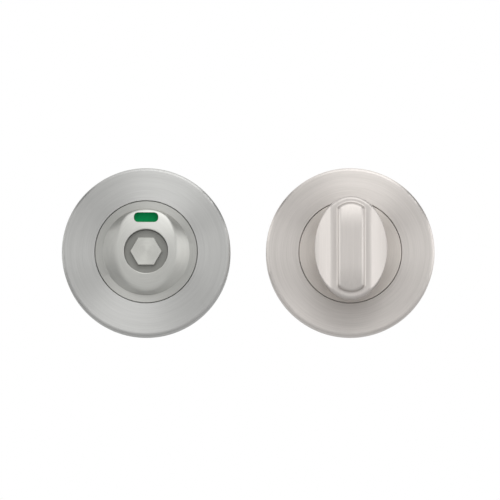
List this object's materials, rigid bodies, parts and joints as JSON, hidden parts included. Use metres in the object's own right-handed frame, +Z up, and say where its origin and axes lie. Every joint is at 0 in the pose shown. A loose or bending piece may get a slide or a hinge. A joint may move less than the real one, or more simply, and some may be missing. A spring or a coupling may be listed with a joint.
{
  "type": "bathroom thumb turn lock",
  "caption": "Bathroom lock in two round brushed steel halves: an oval thumb turn for the inside, and an outside release with a hexagon and a vacant window.",
  "frame": {"origin": "where the thumb turn's spindle axis crosses the door's face, at the back of the inside half's base", "axes": "+Z up the door; -Y out of the door's face towards the viewer, for both halves; +X to the right as seen from the front. The release half stands at -X, 62.9 mm from the thumb turn's axis."},
  "size_m": [0.1149, 0.0741, 0.052],
  "materials": {
    "brushed_cover": "circular brushed stainless steel",
    "brushed_centre": "circular brushed stainless steel",
    "brushed_turn": "satin stainless steel, brushed lengthwise",
    "turned_hub": "turned stainless steel",
    "cast_base": "bare casting",
    "nylon": "natural nylon",
    "spring_steel": "oiled spring steel",
    "plated_screw": "zinc plated steel",
    "plated_spindle": "zinc plated steel bar",
    "indicator_aluminium": "stamped sheet",
    "green_label": "green film",
    "red_label": "red film"
  },
  "bodies": {
    "body": {"turn_cover": "brushed_cover", "turn_base": "cast_base", "turn_centre_plate": "brushed_centre", "turn_bush": "nylon", "turn_snap_ring": "spring_steel", "turn_screw_left": "plated_screw", "turn_screw_right": "plated_screw", "turn_bolt_upper": "plated_screw", "turn_bolt_lower": "plated_screw", "release_cover": "brushed_cover", "release_base": "cast_base", "release_housing": "brushed_centre", "release_bush": "nylon", "release_snap_ring": "spring_steel", "release_screw_left": "plated_screw", "release_screw_right": "plated_screw", "release_post_upper": "plated_screw", "release_post_lower": "plated_screw"},
    "turn": {"thumb_turn": "brushed_turn", "spindle": "plated_spindle", "grub_screw": "plated_screw", "turn_circlip": "spring_steel", "turn_spring_washer": "spring_steel"},
    "release": {"release_hub": "turned_hub", "indicator_disc": "indicator_aluminium", "vacant_label": "green_label", "engaged_label": "red_label", "release_circlip": "spring_steel", "release_spring_washer": "spring_steel"}
  },
  "joints": [
    {"name": "turn_spin", "type": "hinge", "parent": "body", "child": "turn", "pos_m": [0, 0, 0], "axis": [0, 1, 0], "range_deg": [0, 90]},
    {"name": "release_spin", "type": "hinge", "parent": "body", "child": "release", "pos_m": [-0.0629, 0, 0], "axis": [0, -1, 0], "range_deg": [0, 90]}
  ],
  "couplings": [
    {"joint": "release_spin", "follows": "turn_spin", "ratio": 1}
  ]
}
